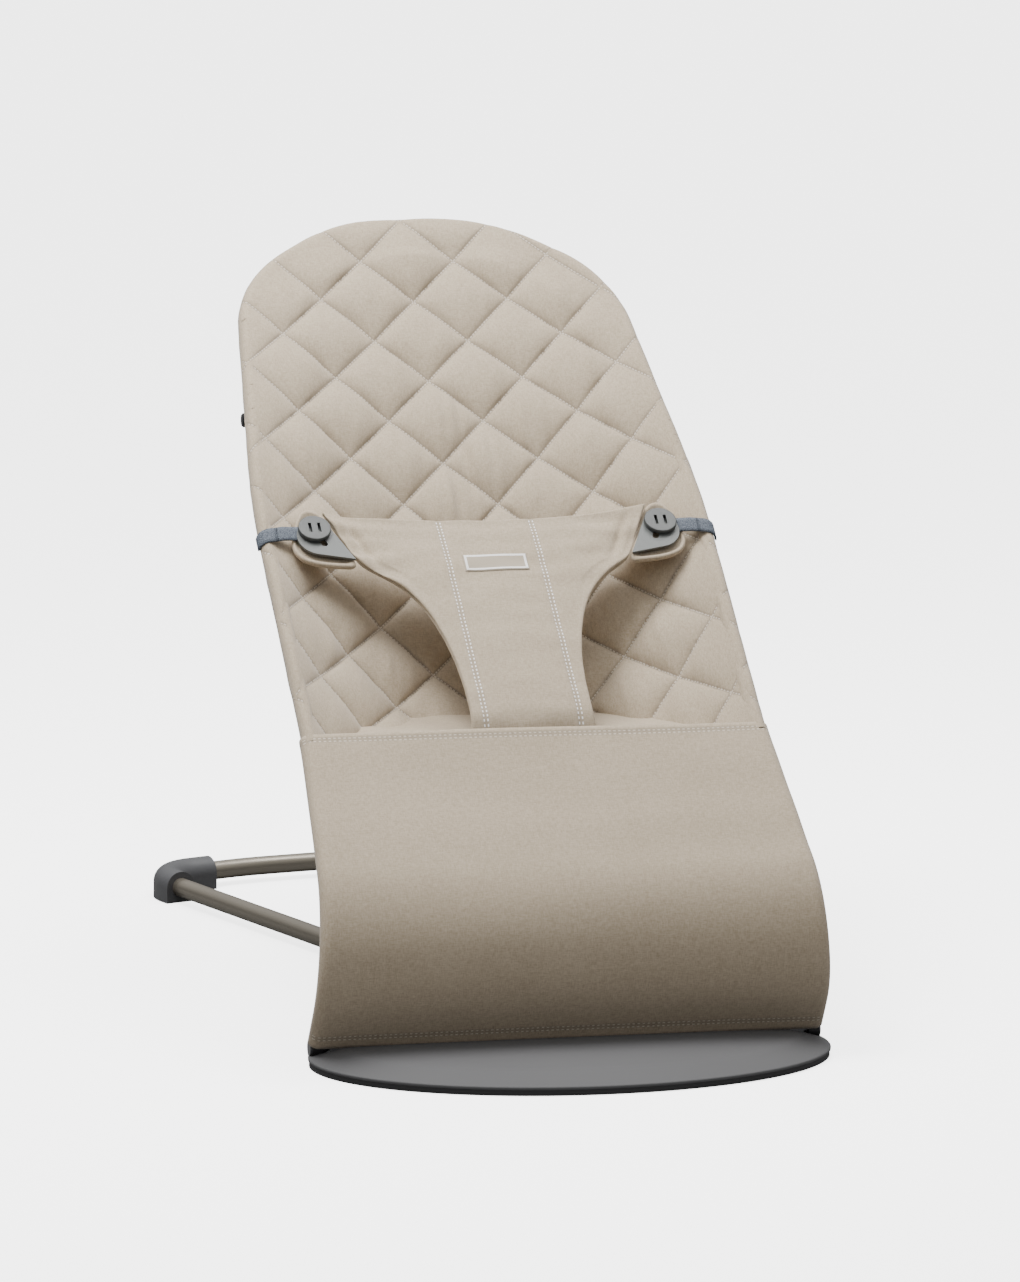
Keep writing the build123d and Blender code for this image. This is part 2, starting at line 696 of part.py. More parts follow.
# the keyhole runs beside the wing's slanted end
wing_across = wing_top_half - wing_low_half
wing_along = flap_length - wing_low_run
wing_end = hypot(wing_across, wing_along)
keyhole_turn = degrees(atan2(wing_along, wing_across))
keyhole_width = 2 * (button_neck_radius + neck_gap)
keyhole_low = (wing_low_half + keyhole_start + tongue_gap, wing_low_run + keyhole_start)
keyhole_high = (wing_top_half + tongue_gap, flap_length - keyhole_head)
strap_level = tongue_thickness + button_gap
plate_level = strap_level + strap_thickness + button_gap
disc_level = plate_level + keyhole_thickness + button_gap
strap_plane = seat_plane.offset(flap_v + strap_level)
for name, side in sides.items():
    tongue_start = (side * (wing_low_half + tongue_gap), wing_low_run)
    tongue_top = (side * (button_half + tongue_shoulder), flap_length - tongue_shoulder)
    tongue_side = (side * (button_half + tongue_reach), button_run - tongue_drop)
    tongue_foot = (side * button_half, wing_low_run + tongue_low)
    with BuildPart() as wing_tongue:
        with BuildSketch(flap_plane):
            with BuildLine():
                Polyline(tongue_start, (side * (wing_top_half + tongue_gap), flap_length), tongue_top)
                ThreePointArc(tongue_top, tongue_side, tongue_foot)
                Line(tongue_foot, tongue_start)
            make_face()
        extrude(amount=tongue_thickness)
    save(wing_tongue, "wing_tongue_" + name)

    plate_low = (side * keyhole_low[0], keyhole_low[1])
    plate_high = (side * keyhole_high[0], keyhole_high[1])
    plate_round = (side * (button_half + keyhole_reach), button_run)
    plate_foot = (side * button_half, button_run - keyhole_tail)
    button_place = (side * button_half, button_run)
    slot_middle = (
        side * (button_half - keyhole_slot / 2 * wing_across / wing_end),
        button_run - keyhole_slot / 2 * wing_along / wing_end,
    )
    with BuildPart() as keyhole_plate:
        with BuildSketch(flap_plane.offset(plate_level)):
            with BuildLine():
                Line(plate_low, plate_high)
                ThreePointArc(plate_high, plate_round, plate_foot)
                Line(plate_foot, plate_low)
            make_face()
            with Locations(slot_middle):
                SlotCenterToCenter(
                    keyhole_slot, keyhole_width, rotation=side * keyhole_turn, mode=Mode.SUBTRACT
                )
        extrude(amount=keyhole_thickness)
    save(keyhole_plate, "keyhole_plate_" + name)

    with BuildPart() as button:
        with BuildSketch(flap_plane.offset(disc_level)):
            with Locations(button_place):
                Circle(button_radius)
        extrude(amount=button_thickness)
        fillet(button.edges().filter_by(GeomType.CIRCLE), button_round)
        with BuildSketch(flap_plane.offset(strap_level + strap_thickness)):
            with Locations(button_place):
                Circle(button_neck_radius)
        extrude(amount=keyhole_thickness + 2 * button_gap)
        with BuildSketch(flap_plane.offset(disc_level + button_thickness)):
            with Locations(button_place):
                with GridLocations(button_slot_pitch, 0, 2, 1):
                    Rectangle(*button_slot)
        extrude(amount=-button_thickness, mode=Mode.SUBTRACT)
    save(button, "button_" + name)

    strap_outer = edge_half - strap_seam
    tab_inner = button_half - tab_reach
    tab_outer = strap_end_half - strap_split
    with BuildPart() as strap:
        with BuildSketch(strap_plane):
            with Locations((side * (strap_end_half + strap_outer) / 2, flap_u + button_run)):
                Rectangle(strap_outer - strap_end_half, strap_width)
        extrude(amount=strap_thickness)
    save(strap, "strap_" + name)

    with BuildPart() as strap_tab:
        with BuildSketch(strap_plane):
            with Locations((side * (tab_inner + tab_outer) / 2, flap_u + button_run)):
                Rectangle(tab_outer - tab_inner, strap_width)
        extrude(amount=strap_thickness)
    save(strap_tab, "strap_tab_" + name)
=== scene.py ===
from math import acos, cos, pi, radians, sin, tan

import bmesh
import bpy
import numpy as np
from mathutils import Euler, Matrix, Vector, noise


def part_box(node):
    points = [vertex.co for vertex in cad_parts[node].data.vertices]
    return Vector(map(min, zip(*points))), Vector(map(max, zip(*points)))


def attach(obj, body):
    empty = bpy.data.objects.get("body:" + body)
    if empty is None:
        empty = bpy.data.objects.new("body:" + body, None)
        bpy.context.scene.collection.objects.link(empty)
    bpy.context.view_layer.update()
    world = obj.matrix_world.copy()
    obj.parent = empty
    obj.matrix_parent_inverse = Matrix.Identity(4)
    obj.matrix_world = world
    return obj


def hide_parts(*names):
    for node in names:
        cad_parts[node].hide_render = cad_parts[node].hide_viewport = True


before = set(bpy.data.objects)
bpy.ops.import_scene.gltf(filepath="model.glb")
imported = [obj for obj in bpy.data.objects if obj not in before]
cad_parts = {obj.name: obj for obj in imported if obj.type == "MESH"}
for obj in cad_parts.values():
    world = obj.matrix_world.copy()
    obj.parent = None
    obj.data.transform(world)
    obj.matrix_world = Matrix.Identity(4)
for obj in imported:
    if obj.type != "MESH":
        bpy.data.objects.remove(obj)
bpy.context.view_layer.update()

# The seat's own directions: up the slope of the rails, and square to them.
hinge = Vector((0, -0.266, 0.012))
seat_angle = radians(37)
across = Vector((1, 0, 0))
slope_u = Vector((0, cos(seat_angle), sin(seat_angle)))
slope_v = across.cross(slope_u)
rail_height = 0.099


def seat_point(x, u, v):
    """A point given across the seat, up the slope from the hinge, and square to the slope."""
    return hinge + across * x + slope_u * u + slope_v * v


def seat_points(x, u, v):
    """The same for arrays: one row of three numbers for each point."""
    return (
        np.array(hinge)
        + np.multiply.outer(x, np.array(across))
        + np.multiply.outer(u, np.array(slope_u))
        + np.multiply.outer(v, np.array(slope_v))
    )


# ---- Studio: a long lens seen slightly from above and from the left, a pale floor,
# a soft light high on the left, a weaker one opposite, and a surround that brightens upwards.
camera_data = bpy.data.cameras.new("camera")
camera_data.lens = 206.0
camera_data.sensor_width = 36.0
camera = bpy.data.objects.new("camera", camera_data)
camera_aim = Euler((radians(90 - 10.02), 0, radians(-13.65))).to_matrix()
camera_turn = camera_aim @ Matrix.Rotation(radians(0.86), 3, "Z")
camera.matrix_world = Matrix.Translation((-1.2815, -5.3512, 1.2334)) @ camera_turn.to_4x4()
bpy.context.scene.collection.objects.link(camera)
bpy.context.scene.camera = camera


def studio_light(name, place, target, size, power):
    lamp = bpy.data.lights.new(name, "AREA")
    lamp.shape = "DISK"
    lamp.size = size
    lamp.energy = power
    holder = bpy.data.objects.new(name, lamp)
    aim = (Vector(place) - Vector(target)).to_track_quat("Z", "Y").to_matrix().to_4x4()
    holder.matrix_world = Matrix.Translation(place) @ aim
    bpy.context.scene.collection.objects.link(holder)


studio_light("key", (-0.50, 0.02, 1.65), (0, 0.05, 0.35), 0.8, 30)
studio_light("head", (0.45, 0.35, 1.8), (0, 0.1, 0.4), 0.8, 16)

world = bpy.data.worlds.new("surround")
bpy.context.scene.world = world
world.use_nodes = True
sky = world.node_tree
sky_place = sky.nodes.new("ShaderNodeTexCoord")
sky_split = sky.nodes.new("ShaderNodeSeparateXYZ")
sky_range = sky.nodes.new("ShaderNodeMapRange")
sky.links.new(sky_place.outputs["Generated"], sky_split.inputs[0])
sky.links.new(sky_split.outputs[2], sky_range.inputs["Value"])
for socket, value in (("From Min", 0.1), ("From Max", 0.9), ("To Min", 0.09), ("To Max", 1.25)):
    sky_range.inputs[socket].default_value = value
sky.links.new(sky_range.outputs[0], sky.nodes["Background"].inputs["Strength"])
sky.nodes["Background"].inputs["Color"].default_value = (1, 1, 1, 1)

floor_mesh = bmesh.new()
bmesh.ops.create_grid(floor_mesh, x_segments=1, y_segments=1, size=12)
floor_data = bpy.data.meshes.new("floor")
floor_mesh.to_mesh(floor_data)
floor_mesh.free()
floor = bpy.data.objects.new("floor", floor_data)
floor_finish = bpy.data.materials.new("floor")
floor_finish.use_nodes = True
floor_nodes = floor_finish.node_tree
floor_shader = floor_nodes.nodes["Principled BSDF"]
floor_shader.inputs["Roughness"].default_value = 0.9
floor_shader.inputs["Specular IOR Level"].default_value = 0.1
floor_shader.inputs["Emission Color"].default_value = (1, 1, 1, 1)
light_path = floor_nodes.nodes.new("ShaderNodeLightPath")
floor_tone = floor_nodes.nodes.new("ShaderNodeMix")
floor_tone.data_type = "RGBA"
floor_tone.inputs[6].default_value = (0.20, 0.20, 0.20, 1)
floor_tone.inputs[7].default_value = (0.95, 0.95, 0.95, 1)
floor_glow = floor_nodes.nodes.new("ShaderNodeMath")
floor_glow.operation = "MULTIPLY"
floor_glow.inputs[1].default_value = 3.2
floor_nodes.links.new(light_path.outputs["Is Camera Ray"], floor_tone.inputs[0])
floor_nodes.links.new(light_path.outputs["Is Camera Ray"], floor_glow.inputs[0])
floor_nodes.links.new(floor_tone.outputs[2], floor_shader.inputs["Base Color"])
floor_nodes.links.new(floor_glow.outputs[0], floor_shader.inputs["Emission Strength"])
floor_data.materials.append(floor_finish)
bpy.context.scene.collection.objects.link(floor)


# ---- Shader sums: a wrapped socket takes part in Python expressions, and every other
# node comes from Finish.node, with its settings first and then its sockets.
class Sum:
    def __init__(self, finish, socket):
        self.finish, self.socket = finish, socket

    def math(self, operation, *others):
        return self.finish.node("Math", {"operation": operation}, *others)

    def __add__(self, other): return self.math("ADD", self, other)
    def __radd__(self, other): return self.math("ADD", other, self)
    def __sub__(self, other): return self.math("SUBTRACT", self, other)
    def __rsub__(self, other): return self.math("SUBTRACT", other, self)
    def __mul__(self, other): return self.math("MULTIPLY", self, other)
    def __truediv__(self, other): return self.math("DIVIDE", self, other)
    def __mod__(self, other): return self.math("FLOORED_MODULO", self, other)
    def __abs__(self): return self.math("ABSOLUTE", self)
    def __lt__(self, other): return self.math("LESS_THAN", self, other)
    def __gt__(self, other): return self.math("GREATER_THAN", self, other)


class Finish:
    """A material under construction, on one Principled shader."""

    def __init__(self, name, color, roughness, **values):
        self.material = bpy.data.materials.new(name)
        self.material.use_nodes = True
        self.tree = self.material.node_tree
        self.shader = self.tree.nodes["Principled BSDF"]
        self.shader.inputs["Base Color"].default_value = (*color, 1)
        self.shader.inputs["Roughness"].default_value = roughness
        for socket, value in values.items():
            self.shader.inputs[socket.replace("_", " ")].default_value = value

    def node(self, kind, settings, *values, output=0, **named):
        node = self.tree.nodes.new("ShaderNode" + kind)
        for key, value in settings.items():
            setattr(node, key, value)
        pairs = list(zip(node.inputs, values))
        pairs += [(node.inputs[key.replace("_", " ")], value) for key, value in named.items()]
        for socket, value in pairs:
            if isinstance(value, Sum):
                self.tree.links.new(value.socket, socket)
            else:
                socket.default_value = value
        return Sum(self, node.outputs[output])

    def noise(self, scale, detail):
        place = self.node("TexCoord", {}, output=3)
        return self.node("TexNoise", {}, Vector=place, Scale=scale, Detail=detail)

    def mix(self, factor, first, second):
        node = self.tree.nodes.new("ShaderNodeMix")
        node.data_type = "RGBA"
        for socket, value in ((node.inputs[0], factor), (node.inputs[6], first), (node.inputs[7], second)):
            if isinstance(value, Sum):
                self.tree.links.new(value.socket, socket)
            else:
                socket.default_value = value if isinstance(value, float) else (*value, 1)
        return Sum(self, node.outputs[2])

    def fading(self, value, near, far):
        """One up to near, then a smooth fall to nothing at far."""
        smooth = {"interpolation_type": "SMOOTHSTEP"}
        return 1.0 - self.node("MapRange", smooth, Value=value, From_Min=near, From_Max=far)

    def set(self, socket, value):
        self.tree.links.new(value.socket, self.shader.inputs[socket])

    def bump(self, height, distance, strength):
        self.set("Normal", self.node("Bump", {}, Strength=strength, Distance=distance, Height=height))


def piece(name, mesh, finish):
    """A finished bmesh becomes an object at the origin with its material."""
    data = bpy.data.meshes.new(name)
    mesh.to_mesh(data)
    mesh.free()
    thing = bpy.data.objects.new(name, data)
    data.materials.append(finish.material)
    for polygon in data.polygons:
        polygon.use_smooth = True
    bpy.context.scene.collection.objects.link(thing)
    return thing


def repaint(names, finish):
    """A CAD node keeps its shape and takes a full material."""
    for name in names:
        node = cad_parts[name]
        node.data.materials.clear()
        node.data.materials.append(finish.material)


# ---- Front plate: one satin moulding, a half ellipse with an upright lip, a sloped
# band up to a crease and a shallow crown, hinge bosses and the tube's socket behind.
plate_low, plate_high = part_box("base_plate")
plate_half = plate_high.x
plate_toe = plate_low.y
plate_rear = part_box("plate_sole")[1].y
plate_half_depth = 0.1133
plate_middle = Vector((0, plate_toe + plate_half_depth, 0))
plate_band = 0.025
plate_profile = [        # inset from the outline, height
    (0.0006, 0.0042), (0.0, 0.0046), (0.0, 0.0060), (0.0004, 0.0066), (0.0014, 0.0070),
    (0.0120, 0.0100), (plate_band - 0.0010, 0.01335), (plate_band, 0.01355),
    (plate_band + 0.002, 0.0139), (plate_band + 0.012, 0.0142), (plate_band + 0.03, 0.0146),
    (plate_band + 0.05, 0.0149), (plate_band + 0.07, 0.0150), (0.1125, 0.0150),
]
plastic = Finish("plate_plastic", (0.105, 0.105, 0.107), 0.6, Specular_IOR_Level=0.12)
grain = plastic.noise(2600.0, 2.0)
cloud = plastic.noise(9.0, 3.0)
plastic.set("Base Color", plastic.mix(cloud, (0.104, 0.104, 0.106), (0.115, 0.115, 0.117)))
plastic.set("Roughness", 0.56 + cloud * 0.09)
plastic.bump(grain, 0.00006, 0.5)

plate = bmesh.new()
bmesh.ops.create_circle(plate, cap_ends=False, segments=192, radius=1)
ring = list(plate.edges)
previous = None
for inset, height in plate_profile:
    if previous is not None:
        made = bmesh.ops.extrude_edge_only(plate, edges=ring)
        ring = [item for item in made["geom"] if isinstance(item, bmesh.types.BMEdge)]
    corners = {vert for edge in ring for vert in edge.verts}
    for vert in corners:
        if previous is None:
            turn = Vector((vert.co.x, vert.co.y, 0))
        else:
            turn = Vector((vert.co.x / previous[0], (vert.co.y - plate_middle.y) / previous[1], 0))
        turn.normalize()
        reach_x, reach_y = plate_half - inset, plate_half_depth - inset
        vert.co = plate_middle + Vector((turn.x * reach_x, turn.y * reach_y, height))
    previous = (plate_half - inset, plate_half_depth - inset)
bmesh.ops.contextual_create(plate, geom=ring)
bmesh.ops.bisect_plane(
    plate, geom=plate.verts[:] + plate.edges[:] + plate.faces[:],
    plane_co=(0, plate_rear, 0), plane_no=(0, 1, 0), clear_outer=True,
)
rim = [edge for edge in plate.edges if edge.is_boundary]
bmesh.ops.holes_fill(plate, edges=rim)
bmesh.ops.recalc_face_normals(plate, faces=plate.faces)
plate_piece = piece("front_plate", plate, plastic)
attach(plate_piece, "base")

# Hinge bosses and socket: raised barrels at the rear corners and a block for the tube.
boss_in, boss_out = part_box("pivot_bush_right")[0].x - 0.002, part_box("pivot_bush_right")[1].x
boss_radius = 0.0095
bosses = bmesh.new()
for side in (-1, 1):
    place = Matrix.Translation((side * (boss_in + boss_out) / 2, hinge.y, hinge.z))
    bmesh.ops.create_cone(
        bosses, cap_ends=True, segments=48, radius1=boss_radius, radius2=boss_radius,
        depth=boss_out - boss_in, matrix=place @ Matrix.Rotation(pi / 2, 4, "Y"),
    )
socket_size = Vector((0.092, 0.034, 0.021))
sole_top = 0.0042
socket_place = Matrix.Translation((0, plate_high.y - socket_size.y / 2, sole_top + socket_size.z / 2))
bmesh.ops.create_cube(bosses, size=1, matrix=socket_place @ Matrix.Diagonal((*socket_size, 1)))
bmesh.ops.bisect_plane(
    bosses, geom=bosses.verts[:] + bosses.edges[:] + bosses.faces[:],
    plane_co=(0, 0, sole_top), plane_no=(0, 0, -1), clear_outer=True,
)
bmesh.ops.holes_fill(bosses, edges=[edge for edge in bosses.edges if edge.is_boundary])
sharp = [edge for edge in bosses.edges if edge.calc_face_angle(0) > radians(40)]
boss_bevel = 0.0012
bmesh.ops.bevel(bosses, geom=sharp, offset=boss_bevel, segments=3, profile=0.5, affect="EDGES", material=-1)
bmesh.ops.recalc_face_normals(bosses, faces=bosses.faces)
boss_piece = piece("plate_bosses", bosses, plastic)
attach(boss_piece, "base")
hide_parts("base_plate")

# ---- Rubber: the sole under the plate and the elbow feet.
rubber = Finish("rubber", (0.032, 0.032, 0.034), 0.62)
rubber_grain = rubber.noise(1500.0, 2.0)
rubber.set("Roughness", 0.52 + rubber_grain * 0.16)
rubber.bump(rubber_grain, 0.00008, 0.5)
repaint(["plate_sole"], rubber)
foot_rubber = Finish("foot_rubber", (0.075, 0.076, 0.080), 0.5)
foot_grain = foot_rubber.noise(1500.0, 2.0)
foot_rubber.set("Roughness", 0.42 + foot_grain * 0.16)
foot_rubber.bump(foot_grain, 0.00008, 0.5)
repaint(["rear_foot_left", "rear_foot_right"], foot_rubber)

# ---- Base tube: bent metal tube with a satin champagne lacquer.
lacquer = Finish("tube_lacquer", (0.30, 0.265, 0.21), 0.36, Metallic=0.75)
flake = lacquer.noise(900.0, 3.0)
haze = lacquer.noise(14.0, 2.0)
lacquer.set("Base Color", lacquer.mix(haze, (0.25, 0.225, 0.185), (0.29, 0.262, 0.215)))
lacquer.set("Roughness", 0.30 + flake * 0.12)
lacquer.bump(flake, 0.00004, 0.4)
repaint(["base_tube"], lacquer)

# ---- Hinge and prop metal, black end fittings, nylon brackets and combs.
steel = Finish("wire_steel", (0.20, 0.20, 0.205), 0.28, Metallic=1.0)
drawn = steel.noise(420.0, 2.0)
steel.set("Roughness", 0.22 + drawn * 0.16)
wires = ["seat_hoop", "prop_wire", "hinge_pin_left", "hinge_pin_right", "plate_screws", "bracket_screws"]
repaint(wires, steel)
black = Finish("hinge_plastic", (0.012, 0.012, 0.013), 0.3)
black_grain = black.noise(1800.0, 1.0)
black.set("Roughness", 0.24 + black_grain * 0.14)
repaint(["hoop_end_left", "hoop_end_right", "prop_shoe_left", "prop_shoe_right"], black)
nylon = Finish("bracket_nylon", (0.05, 0.05, 0.052), 0.5)
nylon_grain = nylon.noise(1700.0, 2.0)
nylon.set("Roughness", 0.42 + nylon_grain * 0.16)
nylon.bump(nylon_grain, 0.00006, 0.5)
repaint(["prop_bracket_left", "prop_bracket_right", "recline_comb_left", "recline_comb_right"], nylon)
acetal = Finish("bush_acetal", (0.6, 0.6, 0.58), 0.4)
acetal_grain = acetal.noise(1300.0, 1.0)
acetal.set("Roughness", 0.36 + acetal_grain * 0.1)
repaint(["pivot_bush_left", "pivot_bush_right"], acetal)
for label, tone, names in (
    ("button_plastic", (0.066, 0.070, 0.068), ("button_left", "button_right")),
    ("keyhole_plastic", (0.112, 0.118, 0.112), ("keyhole_plate_left", "keyhole_plate_right")),
):
    fitting = Finish(label, tone, 0.42)
    fitting_grain = fitting.noise(2200.0, 2.0)
    fitting.set("Roughness", 0.36 + fitting_grain * 0.18)
    fitting.bump(fitting_grain, 0.00008, 0.6)
    repaint(names, fitting)


# ---- The hoop's line: straight runs and arcs, from one hinge round the head to the other.
def rounded(corners, radii, steps=16):
    """The route through corners, each turned into an arc of its own radius."""
    route = [corners[0]]
    for before, corner, after, radius in zip(corners, corners[1:], corners[2:], radii):
        back, ahead = (before - corner).normalized(), (after - corner).normalized()
        opening = acos(max(-1, min(1, back.dot(ahead))))
        reach = radius / tan(opening / 2)
        centre = corner + (back + ahead).normalized() * (radius / sin(opening / 2))
        start, end = corner + back * reach - centre, corner + ahead * reach - centre
        swept = pi - opening
        for step in range(steps + 1):
            share = step / steps
            route.append(centre + (start * sin((1 - share) * swept) + end * sin(share * swept)) / sin(swept))
    return route + [corners[-1]]


head_u = 0.7565
rail_half = 0.171
pocket_u = 0.211
bow_y = hinge.y - 0.0269
foot_end = Vector((0.187, hinge.y, hinge.z))
low_corner = Vector((0.1858, bow_y, hinge.z + 0.0269 / tan(radians(32))))
high_corner = seat_point(0.1815, ((bow_y - hinge.y) + rail_height * -slope_v.y) / slope_u.y, rail_height)
foot_way = (low_corner - foot_end).normalized()
hem_z = 0.0175
hem_end = foot_end + foot_way * ((hem_z - foot_end.z) / foot_way.z)
right_corners = [
    hem_end, low_corner, high_corner,
    seat_point(rail_half, pocket_u, rail_height), seat_point(rail_half, 0.452, rail_height),
    seat_point(0.146, head_u - 0.0645, rail_height), seat_point(0.066, head_u - 0.0087, rail_height),
]
right_bends = [0.060, 0.0826, 0.5, 0.9, 0.109, 0.108]
left_corners = [Vector((-point.x, point.y, point.z)) for point in right_corners]
hoop_corners = left_corners + [seat_point(0, head_u, rail_height)] + right_corners[::-1]
hoop_route = rounded(hoop_corners, right_bends + [0.285] + right_bends[::-1])


def spaced(route, step):
    """The same route with points at even distances."""
    points = np.array(route)
    lengths = np.r_[0, np.cumsum(np.linalg.norm(np.diff(points, axis=0), axis=1))]
    count = max(2, int(round(lengths[-1] / step)) + 1)
    at = np.linspace(0, lengths[-1], count)
    return np.stack([np.interp(at, lengths, points[:, axis]) for axis in range(3)], 1)


def tube(name, route, radius, finish, around, wobble):
    """A tube along a route, swept from a grid: one way along, the other round."""
    heading = np.gradient(route, axis=0)
    heading /= np.linalg.norm(heading, axis=1)[:, None]
    side = np.cross(heading, np.array(slope_v))
    side /= np.linalg.norm(side, axis=1)[:, None]
    rise = np.cross(side, heading)
    mesh = bmesh.new()
    bmesh.ops.create_grid(mesh, x_segments=len(route) - 1, y_segments=around, size=1)
    mesh.verts.ensure_lookup_table()
    for vert in mesh.verts:
        along = int(round((vert.co.x + 1) / 2 * (len(route) - 1)))
        turn = (vert.co.y + 1) * pi
        reach = radius + wobble(along, turn)
        vert.co = Vector(route[along] + (side[along] * cos(turn) + rise[along] * sin(turn)) * reach)
    bmesh.ops.recalc_face_normals(mesh, faces=mesh.faces)
    return piece(name, mesh, finish)


# ---- Cover cloth: a greige melange cotton, woven fine, with soft sheen.
cloth_light, cloth_dark = (0.475, 0.392, 0.287), (0.345, 0.274, 0.188)


def cloth(name, quilted=False, rows=()):
    finish = Finish(name, cloth_light, 0.85, Sheen_Weight=0.25, Sheen_Roughness=0.5)
    coordinates = finish.node("TexCoord", {}, output=3)
    weft_way = finish.node("Mapping", {}, Vector=coordinates, Scale=(260.0, 1500.0, 1500.0))
    warp_way = finish.node("Mapping", {}, Vector=coordinates, Scale=(1500.0, 300.0, 300.0))
    weft = finish.node("TexNoise", {}, Vector=weft_way, Scale=1.0, Detail=2.0)
    warp = finish.node("TexNoise", {}, Vector=warp_way, Scale=1.0, Detail=2.0)
    fleck = (weft + warp) * 0.5
    patch = finish.node("TexNoise", {}, Vector=coordinates, Scale=22.0, Detail=3.0)
    tone = (fleck - 0.5) * 3.6 + (patch - 0.5) * 0.35 + 0.5
    color = finish.mix(finish.node("Clamp", {}, Value=tone), cloth_dark, cloth_light)
    height = fleck
    if quilted:
        lattice = finish.node("UVMap", {"uv_map": "quilt"})
        split = finish.tree.nodes.new("ShaderNodeSeparateXYZ")
        finish.tree.links.new(lattice.socket, split.inputs[0])
        first, second = Sum(finish, split.outputs[0]), Sum(finish, split.outputs[1])
        cell = 0.0539
        thread, crease_groove_and_shade = None, None
        for line, run in ((first, second), (second, first)):
            away = abs((line + 0.5) % 1.0 - 0.5) * cell
            dash = abs(((run * cell / 0.0030) % 1.0) - 0.5)
            stitch = (away < 0.00050) * (dash < 0.32)
            groove_and_shade = finish.fading(away, 0.0002, 0.0022)
            thread = stitch if thread is None else thread.math("MAXIMUM", thread, stitch)
            crease_groove_and_shade = groove_and_shade if crease_groove_and_shade is None else crease_groove_and_shade.math("MAXIMUM", crease_groove_and_shade, groove_and_shade)
        # Painted shade: the cloth colour is darkened along the quilting lines to stand in for the shade in
        # the creases; the same mask also sinks the bump there.
        color = finish.mix(crease_groove_and_shade * 0.60, color, (0.19, 0.15, 0.11))
        color = finish.mix(thread * 0.7, color, (0.66, 0.59, 0.49))
        height = fleck * 0.6 - crease_groove_and_shade * 1.5 + thread * 1.2
    if rows:
        plan = finish.node("UVMap", {"uv_map": "quilt"})
        split = finish.tree.nodes.new("ShaderNodeSeparateXYZ")
        finish.tree.links.new(plan.socket, split.inputs[0])
    for side, place, thread_color in rows:
        beside, run = abs(abs(Sum(finish, split.outputs[side])) - place), Sum(finish, split.outputs[1 - side])
        line = (beside > 0.0009) * (beside < 0.0019)
        dash = abs(((run / 0.0038) % 1.0) - 0.5) < 0.25
        seam = line * dash
        groove_and_shade = finish.fading(beside, 0.0010, 0.0034)
        # Painted shade: the cloth is darkened beside each stitch row, standing in for the shade in the sewn
        # groove; the thread colour after it is the thread's own.
        color = finish.mix(groove_and_shade * 0.35, color, (0.22, 0.18, 0.135))
        color = finish.mix(seam * 0.95, color, thread_color)
        height = height * 0.6 + seam * 1.6 - groove_and_shade * 0.8
    finish.set("Base Color", color)
    finish.set("Roughness", 0.78 + fleck * 0.16)
    finish.bump(height, 0.00022, 0.55)
    return finish


cover_cloth = cloth("cover_cloth")
quilt_cloth = cloth("quilt_cloth", quilted=True)

# ---- Edge sleeve: a cloth tunnel sewn round the wire all the way, a little slack.
sleeve_radius = 0.0061
sleeve_route = spaced(hoop_route, 0.004)


def sleeve_slack(along, turn):
    return 0.0006 * noise.noise(Vector((along * 0.21, cos(turn) * 1.5, sin(turn) * 1.5)))


sleeve = tube("edge_sleeve_cloth", sleeve_route, sleeve_radius, cover_cloth, 16, sleeve_slack)
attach(sleeve, "seat")
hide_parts("edge_sleeve")

# ---- Hollow of the sling: how far below the rails it hangs along its middle. The cloth
# goes over the wire all the way round and ends in a seam on the wire's outer side.
rail_line = np.array([
    [point[0], (Vector(point) - hinge).dot(slope_u)] for point in spaced(hoop_route, 0.001)
])
rail_line = rail_line[rail_line[:, 1] > 0.19]
rail_side = rail_line[rail_line[:, 0] >= 0]
rail_side = rail_side[np.argsort(rail_side[:, 1])]
rail_heading = np.gradient(rail_line, axis=0)
rail_heading /= np.linalg.norm(rail_heading, axis=1)[:, None]
rail_normal = np.stack([rail_heading[:, 1], -rail_heading[:, 0]], 1)
rail_normal *= np.sign((rail_normal * (rail_line - np.array([0, 0.45]))).sum(1))[:, None]
wire_wrap = 0.0060
depth_u = np.array([0.19, 0.25, 0.30, 0.36, 0.42, 0.50, 0.58, 0.66, 0.72, 0.7565, 0.80])
depth_v = np.array([0.062, 0.066, 0.067, 0.062, 0.051, 0.035, 0.022, 0.011, 0.002, -0.0060, -0.0060])
fine_u = np.linspace(0.17, 0.80, 1260)
fine_depth = np.interp(fine_u, depth_u, depth_v) + wire_wrap
kernel = np.hanning(91) / np.hanning(91).sum()
fine_depth = np.convolve(np.pad(fine_depth, 45, mode="edge"), kernel, mode="valid")
fine_depth = fine_depth * np.clip((0.7565 - fine_u) / 0.03, 0, 1) ** 0.7


def half_width(u):
    return np.interp(u, rail_side[:, 1], rail_side[:, 0])


def hollow(x, u):
    """Height of the sling's cloth, square to the slope, at places across and up it."""
    share = np.clip(np.abs(x) / np.maximum(half_width(u), 0.004), 0, 1)
    return rail_height + wire_wrap - np.interp(u, fine_u, fine_depth) * (1 - share ** 2.5)


seat_slope = 0.73
seat_drop = 0.004


def bottom(x, u):
    """Height of the smooth seat bottom, which runs level from the pocket seam."""
    return rail_height - seat_drop - (u - pocket_u) * seat_slope


def shifted(points, normals, amount):
    return points + normals * amount[..., None]


def surface_normals(points):
    """Normals of a grid of points, towards the sitter."""
    ahead, aside = np.gradient(points, axis=0), np.gradient(points, axis=1)
    normals = np.cross(aside, ahead)
    normals /= np.maximum(np.linalg.norm(normals, axis=-1), 1e-9)[..., None]
    return normals


def field(points, scale, seed):
    """Smooth noise at each of an array of points."""
    flat = points.reshape(-1, 3) * np.array(scale) + seed
    return np.array([noise.noise(Vector(point)) for point in flat]).reshape(points.shape[:-1])


